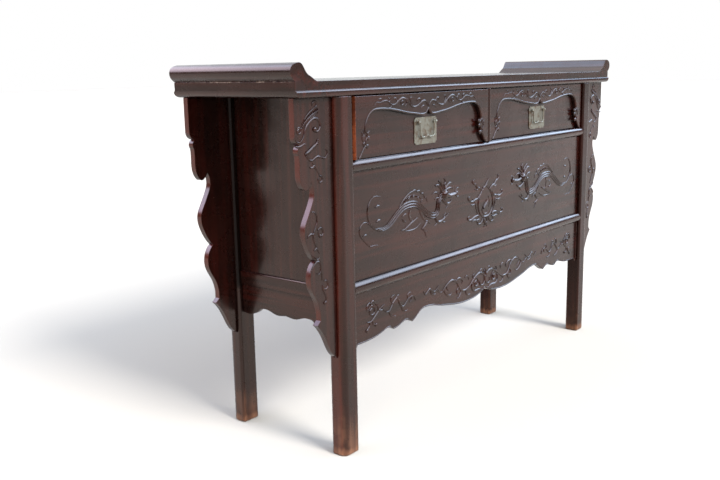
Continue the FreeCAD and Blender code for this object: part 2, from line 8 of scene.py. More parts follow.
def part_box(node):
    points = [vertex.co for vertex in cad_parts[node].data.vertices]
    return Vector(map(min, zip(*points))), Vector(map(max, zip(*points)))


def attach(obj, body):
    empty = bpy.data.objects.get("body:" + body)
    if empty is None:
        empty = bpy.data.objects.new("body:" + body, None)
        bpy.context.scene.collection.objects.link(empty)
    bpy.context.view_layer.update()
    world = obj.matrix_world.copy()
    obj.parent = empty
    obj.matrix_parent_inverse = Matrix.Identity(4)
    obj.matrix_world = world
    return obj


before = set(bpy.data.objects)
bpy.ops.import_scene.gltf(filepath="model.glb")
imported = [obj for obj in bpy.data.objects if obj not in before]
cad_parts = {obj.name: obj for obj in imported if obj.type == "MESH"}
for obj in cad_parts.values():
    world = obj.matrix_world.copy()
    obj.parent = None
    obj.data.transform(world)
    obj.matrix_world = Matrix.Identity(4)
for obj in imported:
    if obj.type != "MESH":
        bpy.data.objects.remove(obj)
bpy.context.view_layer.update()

# The frame is in metres. Carving is drawn in millimetres, on the face that carries it.
MM = 0.001

# Camera
CAMERA_PLACE = (-2.0104, -1.3822, 0.8719)
CAMERA_YAW = math.radians(50.587)
CAMERA_PITCH = math.radians(11.24)
CAMERA_ROLL = math.radians(1.08)
CAMERA_LENS = 42.96
SENSOR_WIDTH = 36.0

# Colours, linear
DEEP_LACQUER = (0.0013, 0.00023, 0.00013)
BROWN_LACQUER = (0.0036, 0.00054, 0.00031)
RED_LACQUER = (0.0085, 0.00074, 0.00040)
DULL_SHEEN = (0.80, 0.57, 0.48)
WARM_SHEEN = (1.0, 0.69, 0.56)
# Painted sky sheen: a cool reflection tint for sides that face up
PAINTED_SKY_SHEEN = (0.62, 0.66, 0.74)
RUBBED_WOOD = (0.050, 0.0115, 0.0060)
# Red on outward sides: partly rubbed wood, partly painted light where they don't face down
RUBBED_AND_LIT_RED = (0.024, 0.0033, 0.0017)
BARE_WOOD = (0.125, 0.056, 0.028)
DARK_GRAIN = (0.052, 0.020, 0.010)
DRAWER_END = (0.200, 0.046, 0.015)
INNER_WOOD = (0.092, 0.052, 0.028)
INNER_GRAIN = (0.050, 0.025, 0.013)
SCRATCH = (0.120, 0.090, 0.070)
BRASS = (0.150, 0.138, 0.108)
BRASS_PATINA = (0.080, 0.045, 0.024)
# Painted shade: the near black that corners, recesses and the back left leg's corner are mixed towards, in
# colour and sheen
PAINTED_SHADE = (0.0008, 0.00035, 0.00022)

# Wear of the top, in the frame: its upper face, the bead along its front edge, and where its end faces start
TOP_LEVEL = 0.850
BEAD_LEVEL = 0.828
END_FACES = (0.742, 0.745)

# Lacquer: how far its edges are softened and its painted shade in hollows reaches, its full gloss, and how
# rough bare wood is
SOFT_EDGE = 1.6 * MM
LEG_EDGE = 3.0 * MM
CARVED_EDGE = 0.3 * MM
SHADE_REACH = 7 * MM
FULL_SPECULAR = 0.5
FULL_COAT = 0.18
GLOSS_SPREAD = 0.08
BARE_ROUGHNESS = 0.3
MASK_SAMPLES = 6

# Studio light
FLOOR = (0.206, 0.190, 0.166)
FLOOR_REACH = 40.0
LOW_LIGHT = (0.30, 0.25, 0.205)
RING_LIGHT = (1.0, 1.05, 1.15)
RIGHT_WINDOW = (6.2, 8.2, 10.9)
LEFT_WINDOW = (6.1, 5.9, 7.2)
TOP_LIGHT = (1.9, 1.9, 1.95)
SKY_LIGHT = (4.3, 6.0, 8.4)
BACK_LIGHT = (1.15, 1.2, 1.2)
WHITE = (1.0, 1.0, 1.0, 1.0)
RIGHT_SIDE = (0.50, -0.866, 0.0)
BACK_SIDE = (0.866, 0.50, 0.0)
KEY_DIRECTION = (0.05, 0.85, -0.53)
KEY_STRENGTH = 15.4
KEY_SOFTNESS = math.radians(22)
FILL_DIRECTION = (0.80, 0.58, -0.13)
FILL_STRENGTH = 10.0
FILL_SOFTNESS = math.radians(35)

# Where one light blends into the next: how far towards a side, or how high
BACK_EDGE = (0.70, 0.92)
RIGHT_EDGE = (0.22, 0.68)
LEFT_EDGE = (-0.80, -0.32)
SKY_EDGE = (-0.50, -0.20)
RING_EDGE = (0.23, 0.38)
TOP_EDGE = (0.65, 0.85)

# Carved lines: a step along one, its cross-section, and the shares of its length that widen it
LINE_STEP = 1.6
CURL_STEPS = 9
SECTION_STEPS = 8
SINK = 1.5
RELIEF = 0.42
FLANK = 1.4
HEAD_SHARE = 0.35
TAIL_SHARE = 0.45
END_WIDTH = 0.25
LEAST_WIDTH = 0.1

# Barbs of the carved feathers
BARB_PITCH = 5.5
BARB_WIDTH = 2.6
BARB_END = 0.7
BARB_LIFT = 1.6
BARB_SLANT = 0.5
BARB_REACH = 0.55

# Skin of the carving, and the beads along shaped edges
VOXEL = 0.8
SMOOTH_ROUNDS = 3
APRON_BEAD = 4.0
FRIEZE_BEAD = 5.4
FRONT_NORMAL = -0.99
FACE_TOLERANCE = 0.1 * MM
SIDE_MARGIN = 0.5 * MM


class Nodes:
    """Short calls for the nodes of one tree."""

    def __init__(self, tree):
        self.tree = tree

    def add(self, kind, inputs=None, **settings):
        node = self.tree.nodes.new(kind)
        for key, value in settings.items():
            setattr(node, key, value)
        for key, value in (inputs or {}).items():
            self.feed(node.inputs[key], value)
        return node

    def feed(self, socket, value):
        if isinstance(value, bpy.types.NodeSocket):
            self.tree.links.new(value, socket)
        else:
            socket.default_value = value

    def band(self, value, low, high, to_low=0.0, to_high=1.0):
        """Maps a stretch of values smoothly onto another."""
        inputs = {"Value": value, "From Min": low, "From Max": high, "To Min": to_low, "To Max": to_high}
        return self.add("ShaderNodeMapRange", inputs, interpolation_type="SMOOTHSTEP").outputs["Result"]

    def math(self, operation, a, b=0.0):
        return self.add("ShaderNodeMath", {0: a, 1: b}, operation=operation).outputs["Value"]

    def times(self, a, b):
        return self.math("MULTIPLY", a, b)

    def dot(self, a, b):
        return self.add("ShaderNodeVectorMath", {0: a, 1: b}, operation="DOT_PRODUCT").outputs["Value"]

    def parts(self, vector):
        return self.add("ShaderNodeSeparateXYZ", {"Vector": vector}).outputs

    def mix(self, share, a, b):
        node = self.add("ShaderNodeMix", {"Factor": share}, data_type="RGBA")
        for socket, value in ((node.inputs[6], a), (node.inputs[7], b)):
            self.feed(socket, value if isinstance(value, bpy.types.NodeSocket) else (*value, 1.0))
        return node.outputs[2]


class Shader(Nodes):
    """A material with a Principled shader."""

    def __init__(self, name):
        self.material = bpy.data.materials.new(name)
        self.material.use_nodes = True
        super().__init__(self.material.node_tree)
        self.surface = self.tree.nodes["Principled BSDF"]
        self.place = self.add("ShaderNodeTexCoord").outputs["Object"]

    def set(self, **inputs):
        for key, value in inputs.items():
            self.feed(self.surface.inputs[key.replace("_", " ")], value)

    def stretched(self, scale):
        return self.add("ShaderNodeMapping", {"Vector": self.place, "Scale": scale}).outputs["Vector"]

    def along(self, grain, lengthwise, crosswise):
        """Places stretched along the grain."""
        return self.stretched(tuple(lengthwise if axis == grain else crosswise for axis in "XYZ"))

    def noise(self, vector, scale=1.0, detail=4.0, roughness=0.55, distortion=0.0):
        inputs = {"Vector": vector, "Scale": scale, "Detail": detail}
        inputs.update({"Roughness": roughness, "Distortion": distortion})
        return self.add("ShaderNodeTexNoise", inputs).outputs["Fac"]

    def axis(self, name):
        return self.parts(self.place)[name]

    def near(self, axis, level, full, gone, strength=1.0):
        """A mask of what lies near a level of an axis: full out to one distance, gone at another."""
        away = self.math("ABSOLUTE", self.math("SUBTRACT", self.axis(axis), level))
        return self.band(away, full, gone, strength, 0.0)

    def normal(self):
        return self.add("ShaderNodeNewGeometry").outputs["Normal"]

    def soft_edges(self, radius):
        """Normals rounded over edges, and a mask of where that rounds them."""
        rounded = self.add("ShaderNodeBevel", {"Radius": radius}, samples=MASK_SAMPLES).outputs["Normal"]
        return rounded, self.math("SUBTRACT", 1.0, self.dot(rounded, self.normal()))

    def hollows(self, distance):
        """A mask of corners and recesses, by how enclosed they are: for painted shade there, and for patina
        on brass.
        """
        node = self.add("ShaderNodeAmbientOcclusion", {"Distance": distance}, samples=MASK_SAMPLES)
        return self.math("SUBTRACT", 1.0, node.outputs["AO"])

    def bump(self, height, distance, strength, normal):
        inputs = {"Height": height, "Distance": distance, "Strength": strength, "Normal": normal}
        return self.add("ShaderNodeBump", inputs).outputs["Normal"]


class Lacquer(Shader):
    """Old dark red-brown lacquer over wood that shows at rubbed edges."""

    def __init__(self, name, grain, edge=SOFT_EDGE, gloss=0.28, red=0.6, shade_strength=0.75):
        super().__init__(name)
        self.grain = grain
        self.streaks = self.noise(self.along(grain, 2.0, 70.0), detail=6.0, roughness=0.6, distortion=0.4)
        self.clouds = self.noise(self.place, scale=5.5, roughness=0.6)
        self.specks = self.noise(self.place, scale=260.0, detail=3.0, roughness=0.7)
        self.rounded, edges = self.soft_edges(edge)
        brown = self.mix(self.band(self.clouds, 0.36, 0.66), DEEP_LACQUER, BROWN_LACQUER)
        self.colour = self.mix(self.times(self.band(self.streaks, 0.44, 0.70), red), brown, RED_LACQUER)
        self.sheen = self.mix(self.band(self.streaks, 0.38, 0.70), DULL_SHEEN, WARM_SHEEN)
        uneven = self.noise(self.place, scale=16.0, detail=5.0, roughness=0.65)
        self.shine = self.band(uneven, 0.3, 0.75, gloss - GLOSS_SPREAD, gloss + GLOSS_SPREAD)
        # Painted shade in corners and recesses, by how enclosed a spot is: darker colour and sheen, and less
        # gloss
        shade_share = self.band(self.hollows(SHADE_REACH), 0.12, 0.55, 0.0, shade_strength)
        self.dull = self.times(shade_share, 0.8)
        self.paint_shade(shade_share)
        self.rub(edges)

    def paint_shade(self, share):
        """Painted shade over the colour and the sheen."""
        self.colour = self.mix(share, self.colour, PAINTED_SHADE)
        self.sheen = self.mix(share, self.sheen, PAINTED_SHADE)

    def rub(self, edges):
        """Wood that shows on edges, in patches."""
        patches = self.noise(self.place, scale=34.0, detail=5.0, roughness=0.7)
        worn = self.times(self.band(edges, 0.03, 0.22), self.band(patches, 0.44, 0.70))
        self.colour = self.mix(self.times(worn, 0.8), self.colour, RUBBED_WOOD)

    def bare(self, share, wood):
        """Wood that has lost its lacquer and its gloss."""
        self.colour = self.mix(share, self.colour, wood)
        self.shine = self.math("ADD", self.shine, self.times(share, BARE_ROUGHNESS))

    def redden_and_light_sides(self, strength):
        """Redder where a side faces outwards and not down, partly rubbed wood and partly painted light, with
        a painted cool sky sheen where it also faces up.
        """
        facing = self.parts(self.normal())
        sides = self.band(self.math("ABSOLUTE", facing["Y"]), 0.2, 0.7, strength, 0.0)
        sides = self.times(sides, self.band(self.times(facing["X"], self.axis("X")), -0.1, 0.1))
        # Painted sky sheen: outward sides that also face up get a cool reflection tint
        upward = self.times(sides, self.band(facing["Z"], 0.1, 0.5))
        self.sheen = self.mix(upward, self.sheen, PAINTED_SKY_SHEEN)
        # The red is kept mostly off sides that face down, so on the other outward sides it is partly painted
        # light as well as rubbed wood
        sides = self.times(sides, self.band(facing["Z"], -0.6, -0.05, 0.1, 1.0))
        sides = self.times(sides, self.band(self.clouds, 0.3, 0.6, 0.4, 1.0))
        self.colour = self.mix(sides, self.colour, RUBBED_AND_LIT_RED)

    def age_top(self):
        """Scratches round the top's ends, and a bead that loses its gloss to the right."""
        quirk = self.near("Z", TOP_LEVEL, 0.7 * MM, 2.0 * MM, 0.9)
        marks = self.noise(self.stretched((30.0, 30.0, 90.0)), detail=5.0, roughness=0.7)
        outside = self.band(self.math("ABSOLUTE", self.axis("X")), *END_FACES)
        scratched = self.times(self.times(quirk, self.band(marks, 0.50, 0.64)), outside)
        self.colour = self.mix(scratched, self.colour, SCRATCH)
        bead = self.near("Z", BEAD_LEVEL, 3.0 * MM, 5.0 * MM)
        self.dull = self.times(bead, self.band(self.axis("X"), -0.15, 0.45, 0.0, 0.72))

    def shade_corner(self):
        """Painted shade on the back left leg where it meets the side panel."""
        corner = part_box("leg_back_left")[0]
        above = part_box("side_rail_left")[0].z
        inner = self.band(self.axis("Y"), corner.y + 3 * MM, corner.y + 12 * MM, 0.9, 0.0)
        self.paint_shade(self.times(inner, self.band(self.axis("Z"), above - 20 * MM, above)))

    def wear_feet(self):
        """Lacquer worn thin in patches near the floor, with a bare rim, and less gloss to the right."""
        self.dull = self.band(self.axis("X"), 0.30, 0.60, 0.0, 0.45)
        height = self.axis("Z")
        ragged = self.noise(self.along(self.grain, 4.0, 120.0), detail=5.0, roughness=0.6)
        patches = self.band(self.noise(self.place, scale=24.0, roughness=0.6), 0.40, 0.64, 0.2, 1.0)
        patches = self.times(patches, self.band(self.axis("X"), -0.2, 0.4, 1.0, 0.45))
        thin = self.math("SUBTRACT", height, self.times(ragged, 0.18))
        thin = self.times(self.band(thin, -0.08, 0.03, 0.30, 0.0), patches)
        rim = self.math("SUBTRACT", height, self.times(ragged, 0.03))
        rim = self.band(rim, -0.006, 0.012, 0.5, 0.0)
        wood = self.mix(self.band(self.streaks, 0.35, 0.7), DARK_GRAIN, BARE_WOOD)
        self.bare(self.math("MAXIMUM", thin, rim), wood)

    def bare_drawer_end(self):
        """The outer end of the left drawer front, rubbed bare towards its foot."""
        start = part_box("drawer_front_left")[0].x
        ends = self.band(self.axis("X"), start + 0.3 * MM, start + 0.8 * MM, 0.6, 0.0)
        ends = self.times(ends, self.band(self.axis("Z"), 0.72, 0.80, 1.0, 0.3))
        self.bare(ends, self.mix(self.band(self.specks, 0.3, 0.7), RUBBED_WOOD, DRAWER_END))

    def done(self):
        waves = self.bump(self.noise(self.place, scale=9.0, detail=2.0), 0.6 * MM, 0.16, self.rounded)
        pores = self.bump(self.streaks, 0.12 * MM, 0.35, waves)
        grit = self.bump(self.specks, 0.03 * MM, 0.4, pores)
        self.set(Base_Color=self.colour, Roughness=self.shine, Normal=grit)
        self.set(IOR=1.5, Specular_Tint=self.sheen, Coat_Roughness=0.12, Coat_Normal=waves)
        self.set(Specular_IOR_Level=self.band(self.dull, 0.0, 1.0, FULL_SPECULAR, 0.0))
        self.set(Coat_Weight=self.band(self.dull, 0.0, 1.0, FULL_COAT, 0.0))
        return self.material


def bare_wood(name, grain):
    """Unfinished wood of the drawer boxes and the inside."""
    s = Shader(name)
    rings = s.noise(s.along(grain, 1.6, 46.0), detail=7.0, roughness=0.6, distortion=0.8)
    clouds = s.noise(s.place, scale=4.0, detail=3.0)
    wood = s.mix(s.band(rings, 0.36, 0.66), INNER_GRAIN, INNER_WOOD)
    colour = s.mix(s.band(clouds, 0.35, 0.75, 0.0, 0.35), wood, RUBBED_WOOD)
    # Painted shade: the wood goes dark in corners and recesses, by how enclosed they are
    colour = s.mix(s.band(s.hollows(14 * MM), 0.4, 0.9, 0.0, 0.7), colour, DEEP_LACQUER)
    rounded, _ = s.soft_edges(1.0 * MM)
    s.set(Base_Color=colour, Normal=s.bump(rings, 0.2 * MM, 0.4, rounded))
    s.set(Roughness=s.band(rings, 0.3, 0.7, 0.72, 0.55), IOR=1.45)
    return s.material


def aged_brass(name):
    """Pale brass gone brown in patches, rubbed bright on its edges."""
    s = Shader(name)
    rounded, edges = s.soft_edges(0.7 * MM)
    patches = s.noise(s.place, scale=60.0, detail=5.0, roughness=0.65)
    tarnish = s.math("MAXIMUM", s.band(patches, 0.46, 0.64), s.band(s.hollows(5 * MM), 0.35, 0.85))
    colour = s.mix(s.times(tarnish, 0.8), BRASS, BRASS_PATINA)
    colour = s.mix(s.times(s.band(edges, 0.04, 0.3), 0.5), colour, BRASS)
    dents = s.bump(s.noise(s.place, scale=120.0, detail=3.0), 0.3 * MM, 0.35, rounded)
    s.set(Base_Color=colour, Metallic=0.85, Normal=dents)
    s.set(Roughness=s.band(patches, 0.3, 0.7, 0.34, 0.58))
    return s.material


# Lines of the carving, in millimetres: points (x, z) on the face
def smooth_line(points, step):
    """Points about a step apart on the smooth curve through the given ones."""
    points = [Vector(point) for point in points]
    guides = [2 * points[0] - points[1]] + points + [2 * points[-1] - points[-2]]
    line = []
    for a, b, c, d in zip(guides, guides[1:], guides[2:], guides[3:]):
        count = max(2, math.ceil((c - b).length / step))
        for index in range(count):
            t = index / count
            bend = (2 * a - 5 * b + 4 * c - d) * t * t + (3 * b - a - 3 * c + d) * t ** 3
            line.append(0.5 * (2 * b + (c - a) * t + bend))
    line.append(points[-1])
    return line


def normals_of(line):
    normals = []
    for index in range(len(line)):
        ahead = line[min(index + 1, len(line) - 1)]
        along = (ahead - line[max(index - 1, 0)]).normalized()
        normals.append(Vector((-along.y, along.x)))
    return normals


def curl(x, z, start, end, first, turns):
    """A spiral about (x, z) from one radius to another; angles in turns, anticlockwise."""
    count = max(4, math.ceil(abs(turns) * CURL_STEPS))
    points = []
    for index in range(count + 1):
        share = index / count
        angle = 2 * math.pi * (first + turns * share)
        radius = start + (end - start) * share
        points.append((x + radius * math.cos(angle), z + radius * math.sin(angle)))
    return points


def beside(points, offset, head=1.0):
    """The line moved sideways, by a share of the offset at its start."""
    points = [Vector(point) for point in points]
    line = []
    for index, (point, normal) in enumerate(zip(points, normals_of(points))):
        share = min(1.0, head + (1 - head) * index / 3)
        line.append(tuple(point + normal * offset * share))
    return line


# Strokes: carved lines and buds
def ridge(points, width, head=0.5, tail=0.35, lift=0.0):
    """A carved line; head and tail are the shares of its width at its two ends."""
    return {"points": points, "width": width, "head": head, "tail": tail, "rise": RELIEF * width + lift}


def bud(x, z, radius, lift=0.0):
    return {"centre": (x, z), "radius": radius, "rise": 2 * RELIEF * radius + lift}


def feathers(points, width):
    """Short slanting ridges across a carved line."""
    line = smooth_line(points, BARB_PITCH)
    barbs = []
    for before, point, normal in zip(line, line[1:-1], normals_of(line)[1:-1]):
        slant = (point - before) * BARB_SLANT
        reach = normal * width * BARB_REACH
        ends = [tuple(point - reach - slant), tuple(point + reach + slant)]
        barbs.append(ridge(ends, BARB_WIDTH, BARB_END, BARB_END, BARB_LIFT))
    return barbs


def placed(strokes, place):
    """A copy of the strokes, with every point put where a function says."""
    images = []
    for stroke in strokes:
        image = dict(stroke)
        if "points" in stroke:
            image["points"] = [place(x, z) for x, z in stroke["points"]]
        else:
            image["centre"] = place(*stroke["centre"])
        images.append(image)
    return images


def flipped(strokes):
    """The mirror image about x = 0."""
    return placed(strokes, lambda x, z: (-x, z))


def moved(strokes, distance):
    """A copy further along x."""
    return placed(strokes, lambda x, z: (x + distance, z))


# Skin of the carving
def on_face(x, height, z, face):
    return Vector((x * MM, face - height * MM, z * MM))


def width_share(stroke, place):
    """The share of its full width that a line has at a place between its head, 0, and its tail, 1."""
    head = stroke["head"] + (1 - stroke["head"]) * min(1.0, place / HEAD_SHARE)
    tail = stroke["tail"] + (1 - stroke["tail"]) * min(1.0, (1 - place) / TAIL_SHARE)
    return min(head, tail)


def section(mesh, point, across, rise, face):
    """One cross-section of a line: its sloping flanks, then its flat foot sunk in the face."""
    ring = []
    for step in range(SECTION_STEPS + 1):
        side = 1 - 2 * step / SECTION_STEPS
        spot = point + across * side
        ring.append(mesh.verts.new(on_face(spot.x, rise * (1 - abs(side) ** FLANK), spot.y, face)))
    for side in (-1, 1):
        spot = point + across * side
        ring.append(mesh.verts.new(on_face(spot.x, -SINK, spot.y, face)))
    return ring


def add_ridge(mesh, stroke, face):
    """A closed bar along the line, with rounded ends."""
    line = smooth_line(stroke["points"], LINE_STEP)
    reach = [0.0]
    for a, b in zip(line, line[1:]):
        reach.append(reach[-1] + (b - a).length)
    whole = reach[-1]
    rings = []
    for point, normal, here in zip(line, normals_of(line), reach):
        share = width_share(stroke, here / whole)
        half = stroke["width"] / 2 * share
        near = min(here, whole - here) / max(half, LEAST_WIDTH)
        if near < 1:
            half *= max(END_WIDTH, math.sqrt(1 - (1 - near) ** 2))
        rise = stroke["rise"] * (1 + share) / 2
        rings.append(section(mesh, point, normal * half, rise, face))
    count = len(rings[0])
    for low, high in zip(rings, rings[1:]):
        for k in range(count):
            n = (k + 1) % count
            mesh.faces.new((low[k], low[n], high[n], high[k]))
    mesh.faces.new(reversed(rings[0]))
    mesh.faces.new(rings[-1])


def add_bud(mesh, stroke, face):
    """A dome."""
    x, z = stroke["centre"]
    radius = stroke["radius"] * MM
    scale = Matrix.Diagonal((radius, stroke["rise"] * MM, radius, 1.0))
    place = Matrix.Translation(on_face(x, 0, z, face)) @ scale
    bmesh.ops.create_uvsphere(mesh, u_segments=20, v_segments=12, radius=1.0, matrix=place)


def rough_block(name, strokes, face):
    """All strokes of a carving in one object, still running through each other."""
    mesh = bmesh.new()
    for stroke in strokes:
        if "points" in stroke:
            add_ridge(mesh, stroke, face)
        else:
            add_bud(mesh, stroke, face)
    bmesh.ops.recalc_face_normals(mesh, faces=mesh.faces)
    rough = bpy.data.meshes.new(name + "_rough")
    mesh.to_mesh(rough)
    mesh.free()
    block = bpy.data.objects.new(name + "_rough", rough)
    bpy.context.scene.collection.objects.link(block)
    return block


def grown_together(block):
    """One smooth skin over a rough block, which goes."""
    skin = block.modifiers.new("skin", "REMESH")
    skin.mode = "VOXEL"
    skin.voxel_size = VOXEL * MM
    smooth = block.modifiers.new("smooth", "SMOOTH")
    smooth.iterations = SMOOTH_ROUNDS
    bpy.context.view_layer.update()
    graph = bpy.context.evaluated_depsgraph_get()
    done = bpy.data.meshes.new_from_object(block.evaluated_get(graph))
    rough = block.data
    bpy.data.objects.remove(block)
    bpy.data.meshes.remove(rough)
    return done


def carved(name, strokes, face, body, material):
    """One carving, on the body that carries it."""
    skin = grown_together(rough_block(name, strokes, face))
    skin.name = name
    skin.shade_smooth()
    skin.materials.clear()
    skin.materials.append(material)
    piece = bpy.data.objects.new(name, skin)
    bpy.context.scene.collection.objects.link(piece)
    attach(piece, body)


# Motifs
def dragon_back():
    """The body, with three ridges along it."""
    spacing = 6.2
    spine = [
        (-482, 509), (-462, 506), (-441, 510), (-421, 521), (-401, 535), (-381, 545), (-360, 549),
        (-340, 549), (-322, 545), (-306, 537), (-291, 526), (-276, 516), (-260, 510), (-246, 509),
        (-236, 514), (-231, 526), (-228, 540), (-220, 551), (-207, 556),
    ]
    strokes = [ridge(spine, 17, 0.4, 0.75, -5.2)]
    for offset, lift in ((-spacing, 1.0), (0.0, 1.7), (spacing, 1.0)):
        strokes.append(ridge(beside(spine, offset, 0.3), 5.4, 0.6, 0.8, lift))
    return strokes


def dragon_tail():
    return [
        ridge([(-466, 506), (-484, 509), (-498, 517), (-508, 529), (-514, 545), (-513, 562), (-506, 576),
               (-494, 585), (-480, 586), (-466, 583)], 5.8, 1.0, 0.4),
        ridge([(-502, 520), (-514, 528), (-526, 531), (-536, 528), (-543, 519), (-543, 508), (-537, 498),
               (-526, 488), (-515, 478), (-506, 473), (-493, 473), (-476, 471)], 5.2, 0.8, 0.3),
        ridge([(-532, 500), (-524, 502), (-517, 501)], 6, 0.6, 0.6),
        ridge([(-487, 560), (-479, 563), (-470, 563)], 6.5, 0.5, 0.7),
        ridge([(-484, 526), (-476, 529), (-467, 529)], 7, 0.6, 0.6),
    ]


def dragon_fin():
    fin = [
        ridge([(-394, 549), (-384, 559), (-370, 569), (-354, 577), (-337, 581)], 6, 0.5, 0.8),
        ridge([(-346, 579), (-331, 582), (-319, 577)], 5.5, 0.7, 0.5),
        ridge([(-324, 578), (-311, 578), (-302, 570)], 5.5, 0.7, 0.5),
        ridge([(-306, 571), (-295, 569), (-288, 559)], 5.5, 0.7, 0.5),
        ridge([(-291, 560), (-282, 556), (-276, 546)], 5, 0.7, 0.5),
        ridge([(-378, 556), (-352, 564), (-326, 563), (-300, 553)], 15, 0.5, 0.5, -5.0),
    ]
    for x, z in ((-352, 569), (-333, 571), (-314, 567), (-298, 558)):
        fin.append(ridge([(x - 8, z - 9), (x, z)], 3.2, 0.6, 0.9, 1.0))
    return fin


def dragon_hind_legs():
    return [
        ridge([(-365, 529), (-374, 528), (-384, 524)], 5.5, 0.7, 0.5),
        ridge([(-383, 519), (-376, 512), (-367, 510)], 6, 0.6, 0.6),
        ridge([(-350, 540), (-354, 526), (-350, 514), (-340, 506)], 10, 0.9, 0.7, -2.7),
        ridge([(-388, 491), (-372, 493), (-352, 501), (-335, 508), (-321, 514)], 7.5, 0.3, 0.6),
        ridge([(-373, 488), (-355, 486), (-338, 486), (-322, 490), (-308, 498)], 5, 0.3, 0.8),
        ridge([(-312, 536), (-305, 522), (-296, 510), (-283, 499)], 11, 0.9, 0.6, -3.0),
        ridge([(-277, 501), (-288, 490), (-304, 481)], 8.5, 0.9, 0.4),
        ridge([(-284, 500), (-274, 497), (-264, 490)], 6.5, 0.9, 0.25),
        ridge([(-298, 481), (-288, 475), (-276, 472)], 6, 0.9, 0.4),
        ridge([(-288, 474), (-284, 464), (-277, 455)], 4.5, 0.9, 0.3),
    ]


def dragon_fore_leg():
    return [
        ridge([(-243, 511), (-241, 499), (-232, 490), (-219, 489), (-206, 494), (-194, 500),
               (-184, 505)], 9, 0.9, 0.3),
        ridge([(-232, 490), (-240, 484), (-250, 482)], 5, 0.9, 0.3),
        ridge([(-214, 490), (-207, 485), (-196, 486)], 5, 0.9, 0.3),
        ridge([(-207, 494), (-203, 503), (-195, 509)], 5, 0.9, 0.3),
    ]


def dragon_head():
    return [
        bud(-203, 556, 13),
        ridge([(-214, 556), (-197, 555), (-178, 550), (-161, 551), (-148, 553)], 13, 0.9, 0.75),
        bud(-147, 553, 6.5),
        ridge([(-214, 547), (-203, 537), (-189, 531), (-177, 533), (-168, 539)], 8.5, 0.9, 0.4),
        ridge([(-208, 563), (-192, 568), (-175, 570), (-159, 566)], 6.5, 0.6, 0.3),
        ridge([(-204, 563), (-196, 574), (-183, 582), (-172, 584)], 9, 0.8, 0.5),
        ridge([(-212, 563), (-220, 575), (-231, 583), (-244, 583)], 9, 0.8, 0.5),
        ridge([(-208, 567), (-212, 579), (-219, 588), (-229, 594)], 8, 0.8, 0.6),
        ridge([(-201, 568), (-201, 580), (-197, 589), (-203, 597)], 7.5, 0.8, 0.6),
        ridge([(-222, 556), (-234, 564), (-247, 566), (-258, 562)], 6, 0.9, 0.25),
        ridge([(-222, 548), (-236, 551), (-247, 548)], 5.5, 0.9, 0.25),
        ridge([(-152, 558), (-144, 565), (-134, 566)], 4.5, 0.9, 0.25),
        ridge([(-150, 547), (-141, 543), (-133, 546)], 4.5, 0.9, 0.25),
        ridge([(-186, 531), (-190, 523), (-199, 519)], 5, 0.9, 0.25),
        bud(-189, 562, 3.6, 3.5),
    ]


def dragon():
    """The dragon left of the pearl, facing it."""
    legs = dragon_hind_legs() + dragon_fore_leg()
    return dragon_back() + dragon_tail() + dragon_fin() + legs + dragon_head()


def flaming_pearl():
    """A pointed ring with a small swirl inside and curling flames all round."""
    swirl = [
        ridge([(-13, 493), (-7, 499), (1, 507), (9, 517)], 12, 0.6, 0.4),
        ridge([(-18, 495), (-16, 485), (-6, 479), (5, 480), (13, 487)], 5, 0.8, 0.4),
        ridge([(12, 527), (19, 517), (20, 505), (16, 494)], 5, 0.4, 0.4, -0.6),
        ridge([(-16, 551), (-7, 553), (0, 557), (6, 565), (15, 575)], 7.5, 0.7, 0.35),
    ]
    half = [
        ridge([(0, 556), (13, 549), (25, 538), (34, 524), (38, 508), (34, 491), (25, 479), (13, 472),
               (-2, 470)], 6.5, 0.8, 1.0),
        ridge([(70, 528), (60, 521), (52, 511), (48, 498), (42, 485), (33, 475)], 5, 0.5, 0.7),
        ridge([(20, 546), (32, 552), (44, 555), (52, 563), (62, 567), (68, 574), (61, 579)], 8, 0.8, 0.5),
        ridge([(34, 552), (47, 549), (58, 553)], 5.5, 0.8, 0.4),
        ridge([(34, 536), (41, 526), (54, 523), (66, 520), (77, 521), (87, 526), (88, 533),
               (80, 534)], 7, 0.6, 0.5),
        ridge([(56, 512), (67, 510), (78, 513)], 5.5, 0.8, 0.4),
        ridge([(31, 474), (42, 478), (53, 477), (65, 474), (77, 471), (88, 473), (90, 480),
               (82, 482)], 7.5, 0.8, 0.5),
        ridge([(32, 468), (45, 466), (58, 468), (71, 465)], 6.5, 0.9, 0.4),
        ridge([(13, 470), (19, 460), (29, 454), (39, 455), (42, 461), (36, 464)], 6, 0.9, 0.5),
        ridge([(4, 468), (8, 458), (3, 450), (8, 442)], 6, 0.9, 0.4),
    ]
    return swirl + half + flipped(half)


def apron_corner():
    return [
        ridge(curl(-505, 319, 4, 15, 0.1, 1.35), 6, 1.0, 0.5),
        ridge([(-521, 322), (-523, 332), (-516, 340), (-507, 338)], 6.6),
        ridge([(-510, 333), (-503, 342), (-494, 339), (-487, 330)], 6.6),
        ridge([(-490, 333), (-482, 326), (-480, 316), (-486, 308)], 6.6),
        ridge([(-524, 296), (-512, 294), (-502, 298), (-490, 306), (-478, 315), (-466, 322),
               (-456, 325)], 7.2, 0.4, 0.3),
        ridge([(-478, 315), (-468, 313), (-460, 317)], 6),
        ridge([(-512, 294), (-514, 285), (-522, 279), (-530, 276)], 6),
        bud(-524, 276, 4.5),
        ridge([(-502, 298), (-500, 288), (-491, 283)], 6),
        bud(-490, 283, 4.5),
    ]


